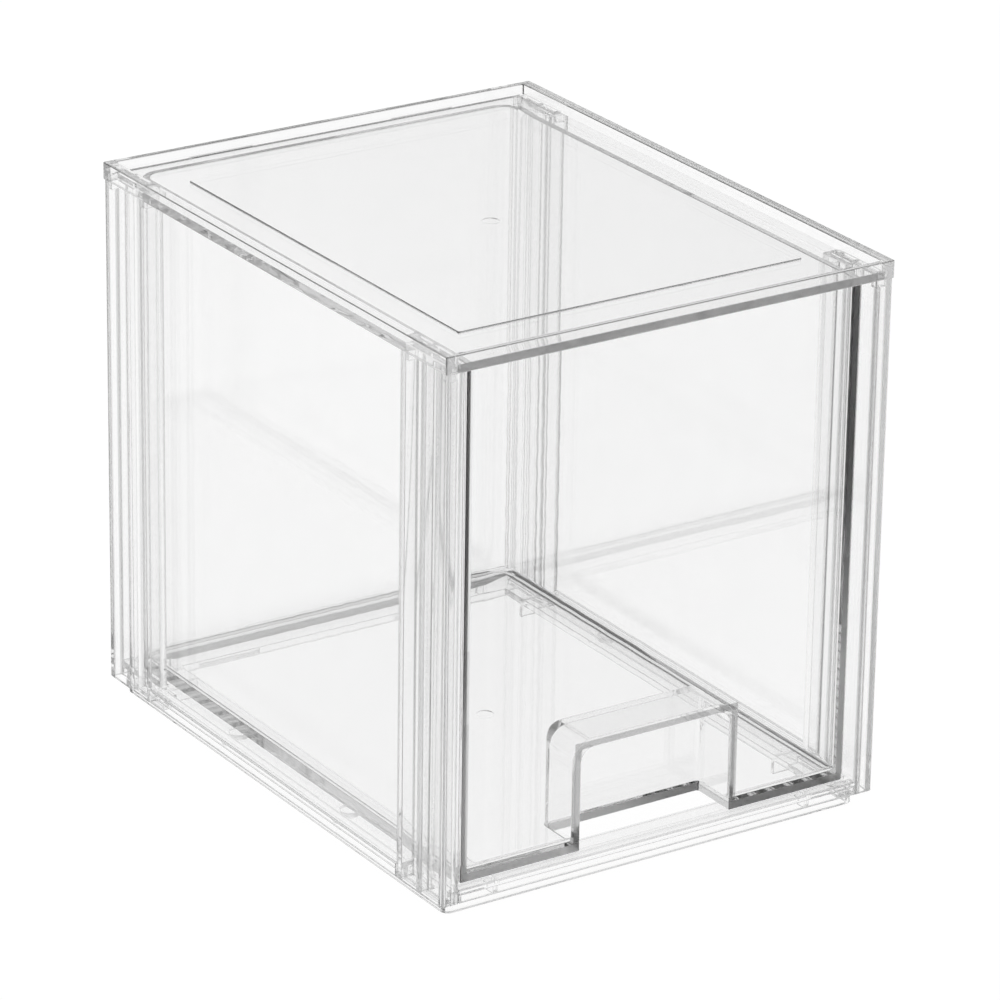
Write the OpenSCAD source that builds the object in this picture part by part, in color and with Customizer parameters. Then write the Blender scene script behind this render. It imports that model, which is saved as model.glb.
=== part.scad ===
// Stackable drawer box: a clear case of five flat mouldings with one lift-out drawer.
// The origin is at the middle of the footprint, on the surface the box stands on.
// X runs across the front, the drawer opens towards -Y, and Z is up.

/* [Case] */
// Width of the box across its top panel
box_w = 170; // [150:1:220]
// Depth of the box from front to back
box_d = 213; // [190:1:260]
// Height of the side panels, from the feet of their columns to the top panel
side_h = 181; // [120:1:240]
// Radius of the upright outer edges of the case
edge_r = 1; // [0.6:0.1:1.8]
// Clearance between pieces that are clipped together
fit_gap = 0.15; // [0.1:0.05:0.3]

/* [Top panel] */
// Thickness of the top plate
top_t = 2.4; // [2:0.1:3.5]
// Height of the rim above the top plate
rim_h = 3.6; // [2.5:0.1:5]
// Thickness of the rim along the left and right sides
rim_side_t = 4; // [3:0.1:5]
// Thickness of the rim along the front and back
rim_end_t = 2.3; // [2:0.1:4]
// How far the top panel stands out past the panels below it
top_lip = 0.3; // [0.1:0.1:0.6]
// Radius of the top panel's corners
rim_r = 0.7; // [0.5:0.1:4]
// Height of the raised field in the middle of the top plate
field_h = 0.6; // [0.3:0.1:1]
// Distance from the side of the case to the raised field
field_side = 19.1; // [16:0.1:28]
// Distance from the front and back of the case to the raised field
field_end = 23.3; // [12:0.1:34]
// Radius of the raised field's corners
field_r = 1; // [0.6:0.1:3]

/* [Base frame] */
// Thickness of the deck that the drawer slides on
deck_t = 2.4; // [2:0.1:3.5]
// Height of the skirt below the deck
skirt_h = 2.4; // [1.5:0.1:4]
// Thickness of the skirt
skirt_t = 1.9; // [1.5:0.1:2.5]
// Depth of the foot ring below the skirt
foot_h = 5; // [4:0.1:7]
// Thickness of the foot ring
foot_t = 2.4; // [1.8:0.1:3]
// Radius of the foot ring's outer corners
foot_r = 3; // [2:0.1:4]
// Clearance between the foot ring and the rim of a box below it
nest_gap = 0.4; // [0.2:0.05:0.8]
// Width of the deck along the sides
deck_side = 20.2; // [16:0.1:28]
// Width of the deck along the front
deck_front = 11.7; // [9:0.1:18]
// Width of the deck along the back
deck_back = 19.7; // [16:0.1:26]
// Thickness of the plate below each column
seat_t = 1.9; // [1.5:0.1:2.5]
// Thickness of the cross ribs between the foot ring and the opening
rib_t = 1.5; // [1:0.1:2.5]
// Distance from the side of the case to the front and back ribs
rib_inset = 22.7; // [22:0.1:40]
// Depth of the ribs below the deck
rib_h = 4.8; // [2:0.1:6]
// Diameter of the round pads below the deck
pad_d = 6.6; // [4:0.1:8]
// Height of the round pads
pad_h = 2; // [1:0.1:4]
// Distance between the two pads on one side
pad_pitch = 71; // [40:1:120]
// Distance from the side of the case to the middle of the pads
pad_inset = 11; // [10.5:0.1:14]

/* [Side panels] */
// Thickness of the flat pane
pane_t = 1.9; // [1.5:0.1:2.5]
// Thickness of the column walls
wall_t = 1.9; // [1.5:0.1:2.2]
// Width of a column's outer stage
stage_w = 6.7; // [6:0.1:7.4]
// Length of a column's outer stage, to the far side of its divider
stage_len = 15.1; // [13:0.1:17]
// Width of a column's inner stage
column_w = 8.6; // [8:0.1:8.8]
// Length of a whole column
column_len = 27; // [25:0.1:28]
// Thickness of the lugs that locate the top panel
lug_t = 1.5; // [1:0.1:2]
// Depth of a lug's root below the top panel
lug_root = 3; // [2:0.5:12]
// Width of the slots in the top panel that the lugs stand in
slot_w = 3.8; // [3.4:0.1:4]

/* [Back panel] */
// Thickness of the back panel
back_t = 1.9; // [1.5:0.1:2.2]
// Width of the tabs on the back panel
tab_w = 24; // [12:1:40]
// Height of the tabs
tab_h = 1.8; // [1:0.1:2.2]
// Distance between the middles of the two tabs on one edge
tab_pitch = 80; // [60:1:100]

/* [Drawer] */
// Thickness of the drawer's walls
drawer_t = 2.4; // [2:0.1:3]
// Thickness of the drawer's floor
floor_t = 3; // [2:0.1:4]
// Distance from the front of the case to the drawer's front face
front_inset = 3.9; // [2:0.1:8]
// Clearance between the drawer and the columns beside it
side_gap = 1.2; // [0.6:0.1:2.5]
// Clearance between the drawer and the back panel
back_gap = 1.1; // [0.8:0.1:4]
// Clearance between the drawer and the top panel
top_gap = 1; // [0.6:0.1:4]
// Radius of the drawer's upright front edges
front_r = 0.5; // [0.4:0.1:2.4]
// Radius of the drawer's upright inner edges at the front
inner_r = 0.6; // [0.5:0.1:2.4]
// Radius of the drawer's upright back edges
back_r = 8; // [6:0.5:16]
// Radius of the rounding inside the drawer, round its floor
cove_r = 2.5; // [1:0.1:3]

/* [Handle pocket] */
// Clear width of the finger pocket
pocket_w = 58.8; // [40:0.1:80]
// Height of the pocket's ceiling above the drawer's underside
pocket_h = 35.9; // [25:0.1:50]
// Depth of the pocket behind the drawer's front face
pocket_depth = 17.8; // [12:0.1:25]
// Radius of the pocket's upper corners
pocket_r = 5; // [3:0.1:10]
// Radius of the pocket's upright back corners
pocket_back_r = 1; // [0.5:0.1:4]
// Diameter of the moulding gate marks
gate_d = 6; // [3:0.5:8]
// Depth of the moulding gate marks
gate_depth = 0.4; // [0.2:0.1:1]

/* [Hidden] */

clear_plastic = [0.88, 0.91, 0.92, 0.35];
over = 1; // how far a cut runs past the face it opens
lap = 0.3; // how far a rib or root runs into the wall that carries it
$fn = 48;

case_w = box_w - 2 * top_lip;
case_d = box_d - 2 * top_lip;
half_w = case_w / 2;
half_d = case_d / 2;
deck_top = foot_h + skirt_h + deck_t;
side_top = foot_h + side_h;
plate_top = side_top + top_t;

foot_inset = max(rim_side_t, rim_end_t) - top_lip + nest_gap;
foot_inner = foot_inset + foot_t;
seat_end = column_len + wall_t;

slot_near = pane_t + fit_gap;
slot_front = wall_t + fit_gap;
slot_back = column_len - wall_t - fit_gap;
lug_near = slot_near + fit_gap;
lug_w = slot_w - 2 * fit_gap;

drawer_w = case_w - 2 * (column_w + side_gap);
drawer_front = -half_d + front_inset;
drawer_d = case_d - front_inset - back_gap - back_t;
drawer_h = side_top - top_gap - deck_top;

// A rectangle centred on X, from Y = 0 to Y = d, with round front and back corners
module soft_rect(w, d, front, back) {
    translate([-w / 2, front]) square([w, d - front - back]);
    translate([-w / 2 + front, 0]) square([w - 2 * front, d / 2]);
    translate([-w / 2 + back, d / 2]) square([w - 2 * back, d / 2]);
    for (side = [-1, 1]) {
        translate([side * (w / 2 - front), front]) circle(front);
        translate([side * (w / 2 - back), d - back]) circle(back);
    }
}

// The plan of the case, set in from the outer faces of its panels
module inset_rect(side, end, r) {
    translate([0, -half_d + end]) soft_rect(case_w - 2 * side, case_d - 2 * end, r, r);
}

// The plan of a wall that follows the case's outline
module inset_ring(inset, t, r) {
    difference() {
        inset_rect(inset, inset, r);
        inset_rect(inset + t, inset + t, max(r - t, lap));
    }
}

// Copies of a shape drawn in the front left corner, for all four corners of the case
module four_corners() {
    for (right = [0, 1], back = [0, 1])
        mirror([right, 0, 0]) mirror([0, back, 0]) translate([-half_w, -half_d, 0]) children();
}

// The plan of one column, grown by a clearance and past the case's outer faces
module column_plan(gap, past) {
    translate([-past, -past]) square([past + stage_w + gap, past + stage_len + gap]);
    translate([-past, stage_len - wall_t - gap])
        square([past + column_w + gap, column_len - stage_len + wall_t + 2 * gap]);
}

// The plan of the two chambers inside a column
module chamber_plan() {
    translate([pane_t, wall_t]) square([stage_w - pane_t - wall_t, stage_len - 2 * wall_t]);
    translate([pane_t, stage_len])
        square([column_w - pane_t - wall_t, column_len - stage_len - wall_t]);
}

// A lug from y to y + t that stands up into a top panel slot
module lug(y, t) {
    translate([lug_near, y, side_top - lug_root]) cube([lug_w, t, lug_root + top_t - fit_gap]);
}

// The root that joins an end lug to its wall, from y to y + t
module lug_base(y, t) {
    translate([lug_near, y, side_top - lug_root]) cube([lug_w, t, lug_root]);
}

// The three lugs of one column: one at each end of the slot, and the divider between them
module column_lugs() {
    front_lug = slot_front + fit_gap;
    back_lug = slot_back - fit_gap - lug_t;
    lug(front_lug, lug_t);
    lug_base(wall_t - lap, front_lug + lug_t - wall_t + lap);
    lug(stage_len - wall_t, wall_t);
    lug(back_lug, lug_t);
    lug_base(back_lug, column_len - wall_t + lap - back_lug);
}

// One hollow column, drawn in the front left corner
module column() {
    translate([0, 0, foot_h]) linear_extrude(side_h) difference() {
        column_plan(0, 0);
        chamber_plan();
    }
    column_lugs();
}

module left_side_panel() {
    pane_from = column_len - wall_t;
    color(clear_plastic) intersection() {
        union() {
            for (back = [0, 1])
                mirror([0, back, 0]) translate([-half_w, -half_d, 0]) column();
            translate([-half_w, -half_d + pane_from, deck_top])
                cube([pane_t, case_d - 2 * pane_from, side_h + foot_h - deck_top]);
        }
        linear_extrude(plate_top) inset_rect(0, 0, edge_r);
    }
}

module right_side_panel() {
    mirror([1, 0, 0]) left_side_panel();
}

// The tabs along one edge of the back panel, or the notches that they stand in
module back_tabs(z, h, gap, past) {
    for (side = [-1, 1])
        translate([side * tab_pitch / 2 - tab_w / 2 - gap, half_d - back_t - gap, z])
            cube([tab_w + 2 * gap, back_t + gap + past, h]);
}

module back_panel() {
    back_w = case_w - 2 * (stage_w + fit_gap);
    back_h = side_top - deck_top;
    color(clear_plastic) {
        translate([-back_w / 2, half_d - back_t, deck_top]) cube([back_w, back_t, back_h]);
        back_tabs(deck_top - tab_h, back_h + 2 * tab_h, 0, 0);
    }
}

// The round mark where the plastic entered the mould, cut into a face below height z
module gate_mark(z) {
    translate([0, 0, z - over]) cylinder(h = gate_depth + over, d = gate_d);
}

module top_panel() {
    color(clear_plastic) difference() {
        translate([0, 0, side_top]) {
            linear_extrude(top_t) inset_rect(-top_lip, -top_lip, rim_r);
            linear_extrude(top_t + rim_h) difference() {
                inset_rect(-top_lip, -top_lip, rim_r);
                inset_rect(rim_side_t - top_lip, rim_end_t - top_lip, edge_r);
            }
            linear_extrude(top_t + field_h) inset_rect(field_side, field_end, field_r);
        }
        four_corners() translate([slot_near, slot_front, side_top - over])
            cube([slot_w, slot_back - slot_front, top_t + over]);
        back_tabs(side_top - over, over + tab_h + fit_gap, fit_gap, over);
        gate_mark(side_top);
    }
}

// The two cross ribs in one corner of the base frame
module corner_ribs() {
    rib_from = foot_inner - lap;
    translate([rib_inset, rib_from, foot_h + skirt_h - rib_h])
        cube([rib_t, deck_front - rib_from, rib_h + lap]);
    translate([rib_from, seat_end, foot_h + skirt_h - rib_h])
        cube([deck_side - rib_from, rib_t, rib_h + lap]);
}

// The plate that carries the foot of one column inside the foot ring
module column_seat() {
    seat_from = foot_inner - lap;
    translate([seat_from, seat_from, foot_h - seat_t])
        cube([column_w + wall_t - seat_from, seat_end + lap - seat_from, seat_t]);
}

// The deck with its skirt, foot ring, ribs and pads, before the columns are let into it
module base_blank() {
    translate([0, 0, foot_h + skirt_h]) linear_extrude(deck_t) difference() {
        inset_rect(0, 0, edge_r);
        translate([-half_w + deck_side, -half_d + deck_front])
            square([case_w - 2 * deck_side, case_d - deck_front - deck_back]);
    }
    translate([0, 0, foot_h]) linear_extrude(skirt_h + lap) inset_ring(0, skirt_t, edge_r);
    linear_extrude(foot_h + skirt_h + lap) inset_ring(foot_inset, foot_t, foot_r);
    four_corners() {
        corner_ribs();
        column_seat();
    }
    for (side = [-1, 1], end = [-1, 1])
        translate([side * (half_w - pad_inset), end * pad_pitch / 2, foot_h + skirt_h - pad_h])
            cylinder(h = pad_h + lap, d = pad_d);
}

module base_frame() {
    color(clear_plastic) difference() {
        base_blank();
        four_corners() translate([0, 0, foot_h]) linear_extrude(deck_top)
            column_plan(fit_gap, over);
        back_tabs(deck_top - tab_h - fit_gap, tab_h + fit_gap + over, fit_gap, over);
    }
}

// The section of the rounding between a floor and a wall, with the wall on the left
module cove_section() {
    difference() {
        translate([-lap, -lap]) square(cove_r + lap);
        translate([cove_r, cove_r]) circle(cove_r);
    }
}

// A straight run of the rounding along +Y, with the wall on the left
module cove_run(l) {
    translate([0, l, 0]) rotate([90, 0, 0]) linear_extrude(l) cove_section();
}

// A quarter turn of the rounding in a corner of radius r, round the origin, towards -X and +Y
module cove_turn(r) {
    rotate([0, 0, 90]) rotate_extrude(angle = 90) intersection() {
        translate([r, 0]) mirror([1, 0]) cove_section();
        translate([0, -over]) square([r + over, cove_r + 2 * over]);
    }
}

// The rounding all the way round a floor of the given size
module cove(w, d, front, back) {
    for (right = [0, 1]) mirror([right, 0, 0]) {
        translate([-w / 2, front, 0]) cove_run(d - front - back);
        translate([-w / 2 + back, d - back, 0]) cove_turn(back);
        mirror([0, 1, 0]) translate([-w / 2 + front, -front, 0]) cove_turn(front);
    }
    translate([w / 2 - front, 0, 0]) rotate([0, 0, 90]) cove_run(w - 2 * front);
    translate([-w / 2 + back, d, 0]) rotate([0, 0, -90]) cove_run(w - 2 * back);
}

// A block from Y = 0 to Y = l, with round upper corners and round upright corners at its back
module arch(w, h, r, l, back) {
    intersection() {
        translate([0, l, 0]) rotate([90, 0, 0]) linear_extrude(l) {
            translate([-w / 2, 0]) square([w, h - r]);
            translate([-w / 2 + r, 0]) square([w - 2 * r, h]);
            for (side = [-1, 1])
                translate([side * (w / 2 - r), h - r]) circle(r);
        }
        linear_extrude(h) soft_rect(w, l, lap, back);
    }
}

// The drawer's floor and four walls
module drawer_tub() {
    inner_w = drawer_w - 2 * drawer_t;
    inner_d = drawer_d - 2 * drawer_t;
    inner_back_r = back_r - drawer_t;
    difference() {
        linear_extrude(drawer_h) soft_rect(drawer_w, drawer_d, front_r, back_r);
        translate([0, drawer_t, floor_t]) linear_extrude(drawer_h)
            soft_rect(inner_w, inner_d, inner_r, inner_back_r);
    }
    translate([0, drawer_t, floor_t]) cove(inner_w, inner_d, inner_r, inner_back_r);
}

module drawer() {
    pocket_outer_w = pocket_w + 2 * drawer_t;
    color(clear_plastic) translate([0, drawer_front, deck_top]) difference() {
        union() {
            drawer_tub();
            arch(pocket_outer_w, pocket_h + drawer_t, pocket_r + drawer_t,
                pocket_depth + drawer_t, pocket_back_r + drawer_t);
        }
        translate([0, -over, -over])
            arch(pocket_w, pocket_h + over, pocket_r, pocket_depth + over, pocket_back_r);
        translate([0, -drawer_front, 0]) gate_mark(0);
    }
}

top_panel();
base_frame();
left_side_panel();
right_side_panel();
back_panel();
drawer();
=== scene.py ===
import math

import bpy
from mathutils import Matrix, Vector

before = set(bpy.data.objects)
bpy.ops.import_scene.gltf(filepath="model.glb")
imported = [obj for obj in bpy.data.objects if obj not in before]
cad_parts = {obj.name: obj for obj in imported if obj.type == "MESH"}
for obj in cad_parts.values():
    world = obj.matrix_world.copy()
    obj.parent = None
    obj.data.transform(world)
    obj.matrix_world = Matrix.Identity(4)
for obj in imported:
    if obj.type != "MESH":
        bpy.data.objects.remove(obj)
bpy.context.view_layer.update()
scene = bpy.context.scene
mm = 0.001
print("frame loaded:", ", ".join(sorted(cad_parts)))


# sRGB hex to the linear colour that sockets take
def linearColour(hexText):
    parts = [int(hexText[i:i + 2], 16) / 255 for i in (1, 3, 5)]
    linear = [c / 12.92 if c <= 0.04045 else ((c + 0.055) / 1.055) ** 2.4 for c in parts]
    return (*linear, 1.0)


# adds a node: in_Name=... sets an input, links={input: output} joins it, the rest are its own settings
def addNode(tree, kind, place=(0, 0), links=None, **settings):
    node = tree.nodes.new(kind)
    node.location = (place[0] * 200, place[1] * 160)
    for key, value in settings.items():
        if key.startswith("in_"):
            node.inputs[key[3:].replace("_", " ")].default_value = value
        else:
            setattr(node, key, value)
    for socket, source in (links or {}).items():
        tree.links.new(source, node.inputs[socket])
    return node


# camera: a long lens from the front left, a little above the box
cameraSettings = {
    "azimuth": -33.40,        # degrees, 0 looks along +Y
    "elevation": 22.36,
    "roll": 0.89,
    "distance": 1.914,        # metres from the point it looks at
    "target": (0.0053, -0.0001, 0.0886),
    "lens": 206.64,           # mm on a 36 mm sensor
    "sensor": 36.0,
}


def placeCamera(view):
    azimuth, elevation, roll = (math.radians(view[k]) for k in ("azimuth", "elevation", "roll"))
    back = Vector((math.sin(azimuth) * math.cos(elevation),
                   -math.cos(azimuth) * math.cos(elevation),
                   math.sin(elevation)))
    right = (-back).cross(Vector((0, 0, 1))).normalized()
    up = right.cross(-back)
    xAxis = right * math.cos(roll) + up * math.sin(roll)
    yAxis = up * math.cos(roll) - right * math.sin(roll)
    data = bpy.data.cameras.new("boxCamera")
    data.lens = view["lens"]
    data.sensor_width = view["sensor"]
    data.clip_start = 0.05
    data.clip_end = 50
    camera = bpy.data.objects.new("boxCamera", data)
    turned = Matrix((xAxis, yAxis, back)).transposed().to_4x4()
    camera.matrix_world = Matrix.Translation(Vector(view["target"]) + back * view["distance"]) @ turned
    scene.collection.objects.link(camera)
    scene.camera = camera


placeCamera(cameraSettings)
print("camera placed")


# studio: a white paper sweep under even light, with the darker room behind the camera
studio = {
    "backdrop": 1.0,          # the white that the camera sees round the box
    "skyBack": 0.9,           # light from above the paper, behind the box
    "skySide": 0.75,
    "skyFront": 0.6,          # the room behind the camera
    "skyFrontAt": -0.7,       # sine of the angle from the side at which the front level is reached
    "skyBackAt": 0.6,         # the same for the back level
    "skyFade": 0.72,          # how much of the light is left to the right of the box
    "fadeTurn": 33.4,         # degrees clockwise from +Y, the middle of that fade
    "fadeHalf": 0.08,         # half its width, as a sine
    "skyTop": 0.85,           # the soft light overhead
    "skyTopFrom": 0.55,       # sine of the height at which it starts
    "skyTopTo": 0.9,
    "paperNear": 1.0,         # the paper under, beside and behind the box, as the plastic sees it
    "paperFront": 0.75,       # painted shade: the paper's glow towards the camera, dimmer as if less light fell there
    "paperFrontFrom": -0.45,  # metres along Y
    "paperFrontTo": -0.12,
    "paperShade": 0.04,       # share of the paper that takes the box's soft shadow
    "paperGlow": 1.03,        # keeps the open paper at white with that share taken off
    "paperColour": "#f2f2f2",
    "paperSize": 12.0,
    "paperDrop": 0.2,         # mm below the foot ring, so that the two share no plane
}


def buildWorld(look):
    world = bpy.data.worlds.new("softStudio")
    world.use_nodes = True
    scene.world = world
    tree = world.node_tree
    tree.nodes.clear()
    coords = addNode(tree, "ShaderNodeTexCoord", (0, 0))
    axes = addNode(tree, "ShaderNodeSeparateXYZ", (1, 0), {"Vector": coords.outputs["Generated"]})
    ahead = addNode(tree, "ShaderNodeMapRange", (2, 1), {"Value": axes.outputs["Y"]},
                    interpolation_type="SMOOTHSTEP", in_From_Min=look["skyFrontAt"], in_From_Max=0.0,
                    in_To_Min=look["skyFront"], in_To_Max=look["skySide"])
    behind = addNode(tree, "ShaderNodeMapRange", (2, 2), {"Value": axes.outputs["Y"]},
                     interpolation_type="SMOOTHSTEP", in_From_Min=0.0, in_From_Max=look["skyBackAt"],
                     in_To_Min=0.0, in_To_Max=look["skyBack"] - look["skySide"])
    ring = addNode(tree, "ShaderNodeMath", (3, 1),
                   {0: ahead.outputs["Result"], 1: behind.outputs["Result"]}, operation="ADD")
    turn = math.radians(look["fadeTurn"])
    across = addNode(tree, "ShaderNodeVectorMath", (1, 3), {0: coords.outputs["Generated"]},
                     operation="DOT_PRODUCT")
    across.inputs[1].default_value = (math.cos(turn), -math.sin(turn), 0)
    fade = addNode(tree, "ShaderNodeMapRange", (2, 3), {"Value": across.outputs["Value"]},
                   in_From_Min=-look["fadeHalf"], in_From_Max=look["fadeHalf"],
                   in_To_Min=1.0, in_To_Max=look["skyFade"])
    level = addNode(tree, "ShaderNodeMath", (4, 1), {0: ring.outputs[0], 1: fade.outputs["Result"]},
                    operation="MULTIPLY")
    height = addNode(tree, "ShaderNodeMapRange", (2, -1), {"Value": axes.outputs["Z"]},
                     in_From_Min=look["skyTopFrom"], in_From_Max=look["skyTopTo"])
    overhead = addNode(tree, "ShaderNodeMix", (4, 0),
                       {"Factor": height.outputs["Result"], 6: level.outputs[0]}, data_type="RGBA")
    overhead.inputs[7].default_value = (look["skyTop"],) * 3 + (1.0,)
    path = addNode(tree, "ShaderNodeLightPath", (4, 2))
    seen = addNode(tree, "ShaderNodeMix", (5, 0),
                   {"Factor": path.outputs["Is Camera Ray"], 6: overhead.outputs[2]}, data_type="RGBA")
    seen.inputs[7].default_value = (look["backdrop"],) * 3 + (1.0,)
    light = addNode(tree, "ShaderNodeBackground", (6, 0), {"Color": seen.outputs[2]})
    addNode(tree, "ShaderNodeOutputWorld", (7, 0), {"Surface": light.outputs["Background"]})


def paperMaterial(look):
    material = bpy.data.materials.new("whiteSweepPaper")
    material.use_nodes = True
    tree = material.node_tree
    tree.nodes.clear()
    coords = addNode(tree, "ShaderNodeTexCoord", (0, 0))
    axes = addNode(tree, "ShaderNodeSeparateXYZ", (1, 0), {"Vector": coords.outputs["Object"]})
    # painted light and shade on the paper for the plastic's rays: its glow dims towards the camera, as if
    # less light fell there
    level = addNode(tree, "ShaderNodeMapRange", (3, 0), {"Value": axes.outputs["Y"]},
                    interpolation_type="SMOOTHSTEP",
                    in_From_Min=look["paperFrontFrom"], in_From_Max=look["paperFrontTo"],
                    in_To_Min=look["paperFront"], in_To_Max=look["paperNear"])
    path = addNode(tree, "ShaderNodeLightPath", (2, 3))
    seen = addNode(tree, "ShaderNodeMix", (5, 0),
                   {"Factor": path.outputs["Is Camera Ray"], 6: level.outputs["Result"]}, data_type="RGBA")
    seen.inputs[7].default_value = (look["backdrop"],) * 3 + (1.0,)
    glow = addNode(tree, "ShaderNodeEmission", (6, 0), {"Color": seen.outputs[2]},
                   in_Strength=look["paperGlow"])
    fibre = addNode(tree, "ShaderNodeBsdfDiffuse", (6, -1), in_Color=linearColour(look["paperColour"]))
    # camera, glossy and transmission rays all meet the glowing paper, the rest meets plain paper
    direct = addNode(tree, "ShaderNodeMath", (3, 3),
                     {0: path.outputs["Is Camera Ray"], 1: path.outputs["Is Glossy Ray"]},
                     operation="MAXIMUM")
    either = addNode(tree, "ShaderNodeMath", (4, 3),
                     {0: direct.outputs[0], 1: path.outputs["Is Transmission Ray"]}, operation="MAXIMUM")
    share = addNode(tree, "ShaderNodeMath", (5, 3), {0: either.outputs[0]}, operation="MULTIPLY")
    share.inputs[1].default_value = 1.0 - look["paperShade"]
    mixed = addNode(tree, "ShaderNodeMixShader", (7, 0),
                    {0: share.outputs[0], 1: fibre.outputs["BSDF"], 2: glow.outputs["Emission"]})
    addNode(tree, "ShaderNodeOutputMaterial", (8, 0), {"Surface": mixed.outputs["Shader"]})
    return material


def layPaper(look):
    half = look["paperSize"] / 2
    low = -look["paperDrop"] * mm
    mesh = bpy.data.meshes.new("paper")
    corners = [(-half, -half, low), (half, -half, low), (half, half, low), (-half, half, low)]
    mesh.from_pydata(corners, [], [(0, 1, 2, 3)])
    mesh.materials.append(paperMaterial(look))
    paper = bpy.data.objects.new("paper", mesh)
    scene.collection.objects.link(paper)


buildWorld(studio)
layPaper(studio)
print("studio lit")


ringSpan = 0.314  # metres from ring to ring of a Wave texture at scale 1

# what every moulding shares
mouldedFinish = {
    "ior": 1.59,              # polystyrene
    "waveSize": 38.0,         # mm between the soft sink waves of a flat moulding
    "waveDepth": 0.010,       # mm
    "flowSize": 7.0,          # mm between flow lines, in rings round the gate
    "flowBend": 3.0,          # how far the rings wander
    "flowDepth": 0.0012,      # mm
    "hazeSize": 12.0,         # mm across the patches of a less even polish
    "hazeFrom": 0.35,         # the part of the noise that counts as haze
    "hazeTo": 0.75,
    "hazeLow": 0.0,
    "hazeHigh": 0.012,        # roughness of the dullest patch
    "endFade": 0.1,           # mm, half the soft border of an end face's painted shade
    "endTurnFrom": -0.4,      # how far a face has to turn to the front to take that painted shade
    "endTurnTo": -0.8,
    "columnFade": 1.0,        # mm over which a column's own grain sets in
}


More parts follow.
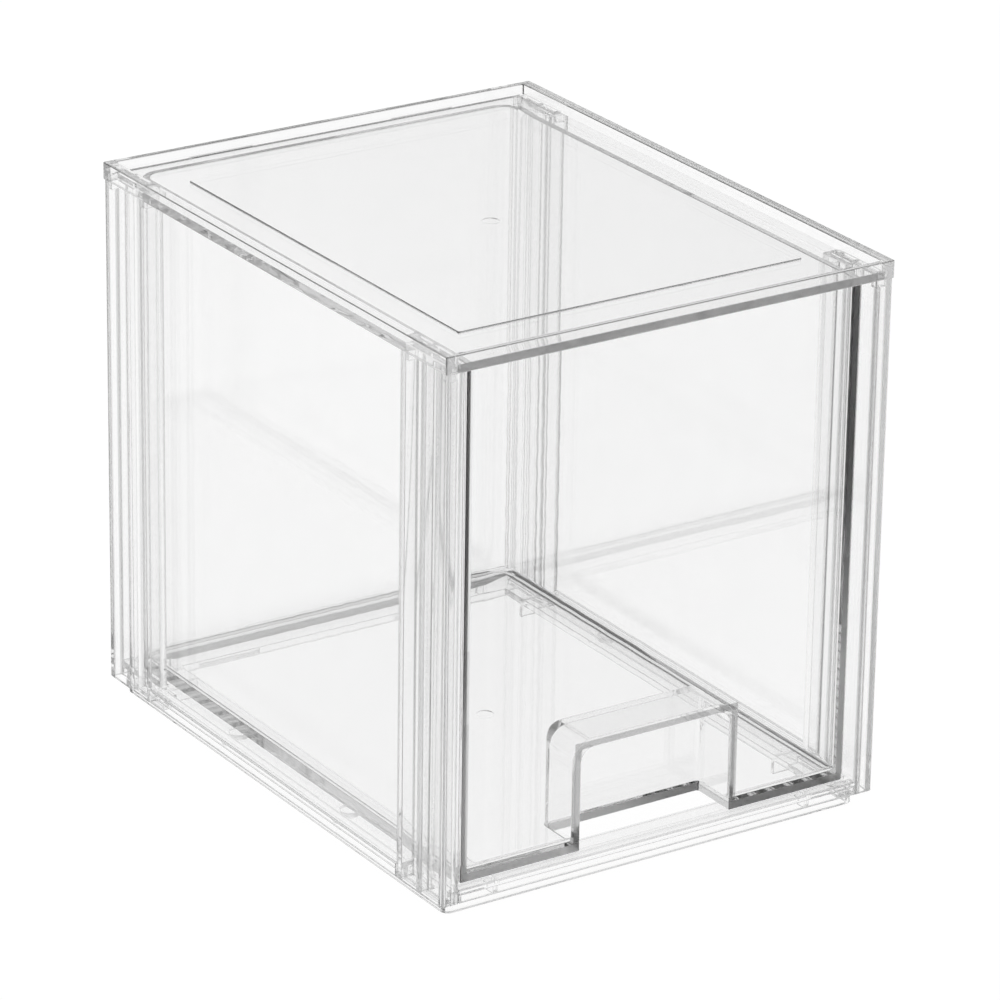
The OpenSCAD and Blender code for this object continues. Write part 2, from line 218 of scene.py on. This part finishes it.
# Moulded clear polystyrene, also called crystal styrene, from a polished mould: hard clear gloss,
#  painted shade for the deep lines where an edge is seen end on and along the arrises, and a faint ripple
#  in what is seen through it.
def clearPolystyrene(look, finish):
    material = bpy.data.materials.new(look["name"])
    material.use_nodes = True
    tree = material.node_tree
    tree.nodes.clear()
    coords = addNode(tree, "ShaderNodeTexCoord", (0, 0))
    # centred on the gate, where the plastic entered the mould
    fromGate = addNode(tree, "ShaderNodeMapping", (1, 0), {"Vector": coords.outputs["Object"]},
                       in_Location=tuple(-c * mm for c in look["gate"]))
    wave = addNode(tree, "ShaderNodeTexNoise", (2, 1), {"Vector": fromGate.outputs["Vector"]},
                   in_Scale=1 / (finish["waveSize"] * mm), in_Detail=1.0, in_Roughness=0.4)
    flow = addNode(tree, "ShaderNodeTexWave", (2, -1), {"Vector": fromGate.outputs["Vector"]},
                   wave_type="RINGS", rings_direction="SPHERICAL", wave_profile="SIN",
                   in_Scale=ringSpan / (finish["flowSize"] * mm), in_Distortion=finish["flowBend"],
                   in_Detail=1.0, in_Detail_Scale=0.4)
    haze = addNode(tree, "ShaderNodeTexNoise", (2, -3), {"Vector": fromGate.outputs["Vector"]},
                   in_Scale=1 / (finish["hazeSize"] * mm), in_Detail=3.0, in_Roughness=0.6)
    dull = addNode(tree, "ShaderNodeMapRange", (3, -3), {"Value": haze.outputs["Fac"]},
                   in_From_Min=finish["hazeFrom"], in_From_Max=finish["hazeTo"],
                   in_To_Min=finish["hazeLow"], in_To_Max=finish["hazeHigh"])
    ripple = addNode(tree, "ShaderNodeBump", (3, 1), {"Height": wave.outputs["Fac"]},
                     in_Strength=1.0, in_Distance=finish["waveDepth"] * mm)
    lines = addNode(tree, "ShaderNodeBump", (4, 0),
                    {"Height": flow.outputs["Fac"], "Normal": ripple.outputs["Normal"]},
                    in_Strength=1.0, in_Distance=finish["flowDepth"] * mm)
    tone = addNode(tree, "ShaderNodeMix", (4, 2), {"Factor": haze.outputs["Fac"]}, data_type="RGBA")
    tone.inputs[6].default_value = linearColour(look["tint"])
    tone.inputs[7].default_value = linearColour(look["tintDeep"])
    # ends: painted shade, a darker base colour on front faces where a sheet lies edge on behind them,
    # standing in for the light lost on its long way through the sheet
    axes = addNode(tree, "ShaderNodeSeparateXYZ", (1, 4), {"Vector": coords.outputs["Object"]})
    facing = addNode(tree, "ShaderNodeSeparateXYZ", (1, 6), {"Vector": coords.outputs["Normal"]})
    across = addNode(tree, "ShaderNodeMath", (2, 5), {0: axes.outputs["X"]}, operation="ABSOLUTE")
    front = addNode(tree, "ShaderNodeMapRange", (2, 6), {"Value": facing.outputs["Y"]},
                    in_From_Min=finish["endTurnFrom"], in_From_Max=finish["endTurnTo"])
    toned = tone.outputs[2]
    grain = dull.outputs["Result"]
    for column, end in enumerate(look["ends"], 3):
        mask = front.outputs["Result"]
        limits = ((across.outputs[0], end["across"]), (axes.outputs["Y"], end["along"]),
                  (axes.outputs["Z"], end["height"]))
        for row, (source, (low, high)) in enumerate(limits):
            for turn, limit in ((1, low), (-1, high)):
                place = 5 + 2 * row + turn * 0.5
                fade = turn * finish["endFade"]
                inside = addNode(tree, "ShaderNodeMapRange", (column, place), {"Value": source},
                                 in_From_Min=(limit - fade) * mm, in_From_Max=(limit + fade) * mm)
                both = addNode(tree, "ShaderNodeMath", (column + 0.5, place),
                               {0: mask, 1: inside.outputs["Result"]}, operation="MULTIPLY")
                mask = both.outputs[0]
        # painted shade: the end face's darker base colour
        endShade = addNode(tree, "ShaderNodeMix", (column + 0.5, 4), {"Factor": mask, 6: toned},
                          data_type="RGBA")
        endShade.inputs[7].default_value = linearColour(end["shadeColour"])
        toned = endShade.outputs[2]
        endGrain = addNode(tree, "ShaderNodeMath", (column + 0.5, 3), {0: mask, 2: grain},
                           operation="MULTIPLY_ADD")
        endGrain.inputs[1].default_value = end["grain"]
        grain = endGrain.outputs[0]
    # columns: drawn out of a deep part of the mould, so less evenly polished than the flat sheets
    fromMiddle = addNode(tree, "ShaderNodeMath", (2, 3), {0: axes.outputs["Y"]}, operation="ABSOLUTE")
    columnGrain = addNode(tree, "ShaderNodeMapRange", (3, 2), {"Value": fromMiddle.outputs[0]},
                          in_From_Min=look["columnsFrom"] * mm,
                          in_From_Max=(look["columnsFrom"] + finish["columnFade"]) * mm,
                          in_To_Max=look["columnGrain"])
    allGrain = addNode(tree, "ShaderNodeMath", (4, 3), {0: columnGrain.outputs["Result"], 1: grain},
                       operation="ADD")
    # arrises: painted shade, a darker base colour on each rounded edge, so that it shows as a narrow line
    # darker than the faces beside it
    arris = addNode(tree, "ShaderNodeAttribute", (6, 6), attribute_name="arris", attribute_type="GEOMETRY")
    arrisShadeTone = addNode(tree, "ShaderNodeMix", (7, 4),
                        {"Factor": arris.outputs["Fac"], 6: toned}, data_type="RGBA")
    arrisShadeTone.inputs[7].default_value = linearColour(look["arrisShadeColour"])
    body = addNode(tree, "ShaderNodeBsdfPrincipled", (8, 0),
                   {"Base Color": arrisShadeTone.outputs[2], "Roughness": allGrain.outputs[0],
                    "Normal": lines.outputs["Normal"]},
                   in_IOR=finish["ior"], in_Transmission_Weight=1.0)
    depth = addNode(tree, "ShaderNodeVolumeAbsorption", (5, -3),
                    in_Color=linearColour(look["depthColour"]), in_Density=look["absorption"])
    addNode(tree, "ShaderNodeOutputMaterial", (9, 0),
            {"Surface": body.outputs["BSDF"], "Volume": depth.outputs["Volume"]})
    return material


planeMatch = 0.02  # mm within which a height counts as that plane's


# Takes the imported normals off, and moves the planes on which pieces rest apart by a film of air
def contactGapTree():
    tree = bpy.data.node_groups.new("contactGap", "GeometryNodeTree")
    sockets = tree.interface
    sockets.new_socket("Geometry", in_out="INPUT", socket_type="NodeSocketGeometry")
    for name in ("Low plane", "High plane", "Foot plane", "Gap"):
        sockets.new_socket(name, in_out="INPUT", socket_type="NodeSocketFloat")
    sockets.new_socket("Geometry", in_out="OUTPUT", socket_type="NodeSocketGeometry")
    given = addNode(tree, "NodeGroupInput", (0, 0))
    plain = addNode(tree, "GeometryNodeRemoveAttribute", (1, 0), {"Geometry": given.outputs["Geometry"]},
                    in_Name="custom_normal")
    smooth = addNode(tree, "GeometryNodeSetShadeSmooth", (2, 0), {"Geometry": plain.outputs["Geometry"]},
                     in_Shade_Smooth=True)
    position = addNode(tree, "GeometryNodeInputPosition", (0, -2))
    axes = addNode(tree, "ShaderNodeSeparateXYZ", (1, -2), {"Vector": position.outputs["Position"]})
    last = smooth.outputs["Geometry"]
    planes = (("Low plane", 1.0), ("High plane", -1.0), ("Foot plane", 1.0))
    for column, (name, side) in enumerate(planes, 3):
        onPlane = addNode(tree, "FunctionNodeCompare", (column, -2),
                          {"A": axes.outputs["Z"], "B": given.outputs[name]},
                          operation="EQUAL", in_Epsilon=planeMatch * mm)
        lift = addNode(tree, "ShaderNodeMath", (column, -3), {0: given.outputs["Gap"]},
                       operation="MULTIPLY")
        lift.inputs[1].default_value = side
        offset = addNode(tree, "ShaderNodeCombineXYZ", (column, -4), {"Z": lift.outputs[0]})
        moved = addNode(tree, "GeometryNodeSetPosition", (column, 0),
                        {"Geometry": last, "Selection": onPlane.outputs["Result"],
                         "Offset": offset.outputs["Vector"]})
        last = moved.outputs["Geometry"]
    addNode(tree, "NodeGroupOutput", (6, 0), {"Geometry": last})
    return tree


# Marks each sharp edge for the bevel that follows: long upright edges and the rest have a radius each,
#  and the edges that stay plain are marked sharp, so that flat faces keep their own normals
def edgeRadiusTree():
    tree = bpy.data.node_groups.new("edgeRadius", "GeometryNodeTree")
    sockets = tree.interface
    sockets.new_socket("Geometry", in_out="INPUT", socket_type="NodeSocketGeometry")
    for name in ("Sharp angle", "Upright share", "Level share", "Long run", "Plain above", "Plain within",
                 "Plain level"):
        sockets.new_socket(name, in_out="INPUT", socket_type="NodeSocketFloat")
    sockets.new_socket("Geometry", in_out="OUTPUT", socket_type="NodeSocketGeometry")
    given = addNode(tree, "NodeGroupInput", (0, 0))
    angle = addNode(tree, "GeometryNodeInputMeshEdgeAngle", (0, -2))
    sharp = addNode(tree, "FunctionNodeCompare", (1, -2),
                    {"A": angle.outputs["Unsigned Angle"], "B": given.outputs["Sharp angle"]},
                    operation="GREATER_THAN")
    ends = addNode(tree, "GeometryNodeInputMeshEdgeVertices", (0, -4))
    run = addNode(tree, "ShaderNodeVectorMath", (1, -4),
                  {0: ends.outputs["Position 1"], 1: ends.outputs["Position 2"]}, operation="SUBTRACT")
    heading = addNode(tree, "ShaderNodeVectorMath", (2, -4), {0: run.outputs["Vector"]},
                      operation="NORMALIZE")
    axes = addNode(tree, "ShaderNodeSeparateXYZ", (3, -4), {"Vector": heading.outputs["Vector"]})
    rise = addNode(tree, "ShaderNodeMath", (4, -4), {0: axes.outputs["Z"]}, operation="ABSOLUTE")
    length = addNode(tree, "ShaderNodeVectorMath", (2, -5), {0: run.outputs["Vector"]}, operation="LENGTH")
    reach = addNode(tree, "ShaderNodeMath", (5, -4), {0: length.outputs["Value"], 1: rise.outputs[0]},
                    operation="MULTIPLY")
    upright = addNode(tree, "FunctionNodeCompare", (6, -4),
                      {"A": reach.outputs[0], "B": given.outputs["Long run"]}, operation="GREATER_THAN")
    share = addNode(tree, "GeometryNodeSwitch", (6, -3),
                    {"Switch": upright.outputs["Result"], "False": given.outputs["Level share"],
                     "True": given.outputs["Upright share"]}, input_type="FLOAT")
    # plain: the gate mark on the middle axis, and the lugs at the top
    middle = addNode(tree, "ShaderNodeVectorMath", (1, -6),
                     {0: ends.outputs["Position 1"], 1: ends.outputs["Position 2"]}, operation="ADD")
    halved = addNode(tree, "ShaderNodeVectorMath", (2, -6), {0: middle.outputs["Vector"]},
                     operation="MULTIPLY")
    halved.inputs[1].default_value = (0.5, 0.5, 0)
    axisGap = addNode(tree, "ShaderNodeVectorMath", (3, -6), {0: halved.outputs["Vector"]},
                      operation="LENGTH")
    beyond = addNode(tree, "FunctionNodeCompare", (4, -6),
                     {"A": axisGap.outputs["Value"], "B": given.outputs["Plain within"]},
                     operation="GREATER_THAN")
    firstEnd = addNode(tree, "ShaderNodeSeparateXYZ", (2, -7), {"Vector": ends.outputs["Position 1"]})
    otherEnd = addNode(tree, "ShaderNodeSeparateXYZ", (2, -8), {"Vector": ends.outputs["Position 2"]})
    lowest = addNode(tree, "ShaderNodeMath", (3, -7), {0: firstEnd.outputs["Z"], 1: otherEnd.outputs["Z"]},
                     operation="MINIMUM")
    below = addNode(tree, "FunctionNodeCompare", (4, -7),
                    {"A": lowest.outputs[0], "B": given.outputs["Plain above"]}, operation="LESS_THAN")
    allowed = addNode(tree, "FunctionNodeBooleanMath", (5, -6),
                      {0: beyond.outputs["Result"], 1: below.outputs["Result"]}, operation="AND")
    # plain too: a recess's floor, because a bevel would close the slots that cut its outline
    flushEnds = [addNode(tree, "FunctionNodeCompare", (3, -9 - row),
                         {"A": end.outputs["Z"], "B": given.outputs["Plain level"]},
                         operation="EQUAL", in_Epsilon=planeMatch * mm).outputs["Result"]
                 for row, end in enumerate((firstEnd, otherEnd))]
    flush = addNode(tree, "FunctionNodeBooleanMath", (4, -9), {0: flushEnds[0], 1: flushEnds[1]},
                    operation="AND")
    rounded = addNode(tree, "FunctionNodeBooleanMath", (5, -8),
                      {0: allowed.outputs["Boolean"], 1: flush.outputs["Boolean"]}, operation="NIMPLY")
    chosen = addNode(tree, "FunctionNodeBooleanMath", (6, -6),
                     {0: rounded.outputs["Boolean"], 1: sharp.outputs["Result"]}, operation="AND")
    kept = addNode(tree, "GeometryNodeStoreNamedAttribute", (7, 0),
                   {"Geometry": given.outputs["Geometry"], "Selection": chosen.outputs["Boolean"],
                    "Value": share.outputs["Output"]},
                   data_type="FLOAT", domain="EDGE", in_Name="bevel_weight_edge")
    plain = addNode(tree, "FunctionNodeBooleanMath", (7, -6),
                    {0: sharp.outputs["Result"], 1: rounded.outputs["Boolean"]}, operation="NIMPLY")
    creased = addNode(tree, "GeometryNodeStoreNamedAttribute", (8, 0),
                      {"Geometry": kept.outputs["Geometry"], "Value": plain.outputs["Boolean"]},
                      data_type="BOOLEAN", domain="EDGE", in_Name="sharp_edge")
    addNode(tree, "NodeGroupOutput", (9, 0), {"Geometry": creased.outputs["Geometry"]})
    return tree


# Keeps which faces the bevel made, as the attribute "arris", and puts them back on the first material slot
def arrisMarkTree():
    tree = bpy.data.node_groups.new("arrisMark", "GeometryNodeTree")
    tree.interface.new_socket("Geometry", in_out="INPUT", socket_type="NodeSocketGeometry")
    tree.interface.new_socket("Geometry", in_out="OUTPUT", socket_type="NodeSocketGeometry")
    given = addNode(tree, "NodeGroupInput", (0, 0))
    slot = addNode(tree, "GeometryNodeInputMaterialIndex", (0, -2))
    rounded = addNode(tree, "ShaderNodeMath", (1, -2), {0: slot.outputs["Material Index"]},
                      operation="GREATER_THAN")
    rounded.inputs[1].default_value = 0.5
    kept = addNode(tree, "GeometryNodeStoreNamedAttribute", (2, 0),
                   {"Geometry": given.outputs["Geometry"], "Value": rounded.outputs[0]},
                   data_type="FLOAT", domain="FACE", in_Name="arris")
    first = addNode(tree, "GeometryNodeSetMaterialIndex", (3, 0), {"Geometry": kept.outputs["Geometry"]})
    addNode(tree, "NodeGroupOutput", (4, 0), {"Geometry": first.outputs["Geometry"]})
    return tree


def setInputs(modifier, tree, values):
    modifier.node_group = tree
    for socket in tree.interface.items_tree:
        if socket.in_out == "INPUT" and socket.name in values:
            modifier[socket.identifier] = float(values[socket.name])


contactGap = contactGapTree()
edgeRadius = edgeRadiusTree()
arrisMark = arrisMarkTree()

# how every piece's mesh is made ready for its rounded edges
meshCare = {
    "airFilm": 0.03,          # mm between two pieces that rest on each other
    "weldWithin": 0.001,      # mm
    "flatWithin": 0.002,      # radians between faces that count as one flat face
    "sharpFrom": 0.6,         # radians from which an edge is rounded
    "plainWithin": 4,         # mm from the middle axis, where the gate mark keeps its edges
}


# gives a CAD node its material and rounds its edges, without touching its mesh
def dressNode(name, look):
    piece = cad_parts[name]
    piece.data.materials.clear()
    moulding = clearPolystyrene(look, mouldedFinish)
    piece.data.materials.append(moulding)
    piece.data.materials.append(moulding)  # the bevel's own slot, which arrisMark empties again
    planes = look["restPlanes"]
    setInputs(piece.modifiers.new("contactGap", "NODES"), contactGap,
              {"Low plane": planes[0] * mm, "High plane": planes[1] * mm,
               "Foot plane": planes[2] * mm, "Gap": meshCare["airFilm"] * mm})
    weld = piece.modifiers.new("weld", "WELD")
    weld.merge_threshold = meshCare["weldWithin"] * mm
    flat = piece.modifiers.new("flat", "DECIMATE")
    flat.decimate_type = "DISSOLVE"
    flat.angle_limit = meshCare["flatWithin"]
    widest = max(look["uprightRadius"], look["levelRadius"])
    setInputs(piece.modifiers.new("edgeRadius", "NODES"), edgeRadius,
              {"Sharp angle": meshCare["sharpFrom"], "Upright share": look["uprightRadius"] / widest,
               "Level share": look["levelRadius"] / widest, "Long run": look["longRun"] * mm,
               "Plain above": look["plainAbove"] * mm, "Plain level": look["plainLevel"] * mm,
               "Plain within": meshCare["plainWithin"] * mm})
    edge = piece.modifiers.new("edge", "BEVEL")
    edge.limit_method = "WEIGHT"
    edge.width = widest * mm
    edge.segments = look["edgeSegments"]
    edge.use_clamp_overlap = False
    edge.material = 1
    setInputs(piece.modifiers.new("arrisMark", "NODES"), arrisMark, {})
    even = piece.modifiers.new("even", "WEIGHTED_NORMAL")
    even.mode = "FACE_AREA"
    even.weight = 100
    even.keep_sharp = True
    print(name, "dressed")


away = 1000.0  # mm, a place that nothing reaches

# In each look, ends are the front faces given painted shade, a darker base colour where a sheet lies edge
# on behind them, as ranges in mm:
#  across is the distance from the middle, along is Y and height is Z. Radii and planes are in mm too.
topPanelLook = {
    "name": "mouldedClearStyreneTop",
    "tint": "#fefefe", "tintDeep": "#fcfcfc",
    "depthColour": "#000000", "absorption": 1.6,   # per metre
    "arrisShadeColour": "#c6c6c6",
    "gate": (0, 0, 186),
    "ends": [
        # painted shade: a dark band on the top sheet's front edge, where the sheet lies edge on behind it
        {"across": (-away, 81), "along": (-away, -105), "height": (-away, 189),
         "shadeColour": "#8c8c8c", "grain": 0.1},
    ],
    "columnsFrom": away, "columnGrain": 0,
    "uprightRadius": 0.3, "levelRadius": 0.35, "longRun": 2, "edgeSegments": 3,
    "plainAbove": away,
    "plainLevel": 188.4,   # the floor of the stacking recess
    "restPlanes": (away, away, away),
}
dressNode("top_panel", topPanelLook)

baseFrameLook = {
    "name": "mouldedClearStyreneBase",
    "tint": "#fefefe", "tintDeep": "#fcfcfc",
    "depthColour": "#000000", "absorption": 2.0,
    "arrisShadeColour": "#d8d8d8",
    "gate": (0, 0, 5),
    "ends": [],
    "columnsFrom": away, "columnGrain": 0,
    "uprightRadius": 0.3, "levelRadius": 0.25, "longRun": 2, "edgeSegments": 2,
    "plainAbove": away,
    "plainLevel": away,
    "restPlanes": (away, away, away),
}
dressNode("base_frame", baseFrameLook)

sidePanelLook = {
    "tint": "#fefefe", "tintDeep": "#fcfcfc",
    "depthColour": "#000000", "absorption": 1.6,
    "arrisShadeColour": "#b4b4b4",
    "ends": [],
    "columnsFrom": 79, "columnGrain": 0.04,   # mm from the middle, and the roughness added there
    "uprightRadius": 0.6, "levelRadius": 0.12, "longRun": 5, "edgeSegments": 4,
    "plainAbove": 182.5,   # the lugs and their roots
    "plainLevel": away,
    "restPlanes": (9.8, 186, 5),
}
dressNode("left_side_panel", sidePanelLook | {"name": "mouldedClearStyreneLeft", "gate": (-85, 0, 95)})
dressNode("right_side_panel", sidePanelLook | {"name": "mouldedClearStyreneRight", "gate": (85, 0, 95)})

backPanelLook = {
    "name": "mouldedClearStyreneBack",
    "tint": "#fefefe", "tintDeep": "#fcfcfc",
    "depthColour": "#000000", "absorption": 1.6,
    "arrisShadeColour": "#bcbcbc",
    "gate": (0, 106, 95),
    "ends": [],
    "columnsFrom": away, "columnGrain": 0,
    "uprightRadius": 0.2, "levelRadius": 0.2, "longRun": 60, "edgeSegments": 2,
    "plainAbove": away,
    "plainLevel": away,
    "restPlanes": (9.8, 186, away),
}
dressNode("back_panel", backPanelLook)

drawerLook = {
    "name": "mouldedClearStyreneDrawer",
    "tint": "#fefefe", "tintDeep": "#fbfbfb",
    "depthColour": "#000000", "absorption": 2.2,
    "arrisShadeColour": "#e0e0e0",
    "gate": (0, 0, 9.8),
    "ends": [
        # the side walls, painted shade in three tones that deepen downwards
        {"across": (72.5, away), "along": (-away, -101), "height": (-away, away),
         "shadeColour": "#fcfcfc", "grain": 0.3},
        {"across": (72.5, away), "along": (-away, -101), "height": (-away, 90),
         "shadeColour": "#d8d8d8", "grain": 0},
        {"across": (72.5, away), "along": (-away, -101), "height": (-away, 65),
         "shadeColour": "#bababa", "grain": 0},
        # painted shade on the floor, the pocket's cheeks and its ceiling
        {"across": (-away, away), "along": (-away, -80), "height": (-away, 12.8),
         "shadeColour": "#e8e8e8", "grain": 0.4},
        {"across": (29.4, 31.8), "along": (-away, -101), "height": (12.8, 45.7),
         "shadeColour": "#a8a8a8", "grain": 0.25},
        {"across": (-away, 31.8), "along": (-away, -101), "height": (45.7, 48.1),
         "shadeColour": "#a0a0a0", "grain": 0.05},
    ],
    "columnsFrom": away, "columnGrain": 0,
    "uprightRadius": 0.3, "levelRadius": 0.3, "longRun": 2, "edgeSegments": 3,
    "plainAbove": away,
    "plainLevel": away,
    "restPlanes": (9.8, away, away),
}
dressNode("drawer", drawerLook)

# light runs a long way inside clear plastic before it leaves by an edge
lightPath = {"bounces": 64}
scene.cycles.max_bounces = lightPath["bounces"]
scene.cycles.transmission_bounces = lightPath["bounces"]
scene.cycles.glossy_bounces = lightPath["bounces"]
scene.view_settings.view_transform = "Standard"
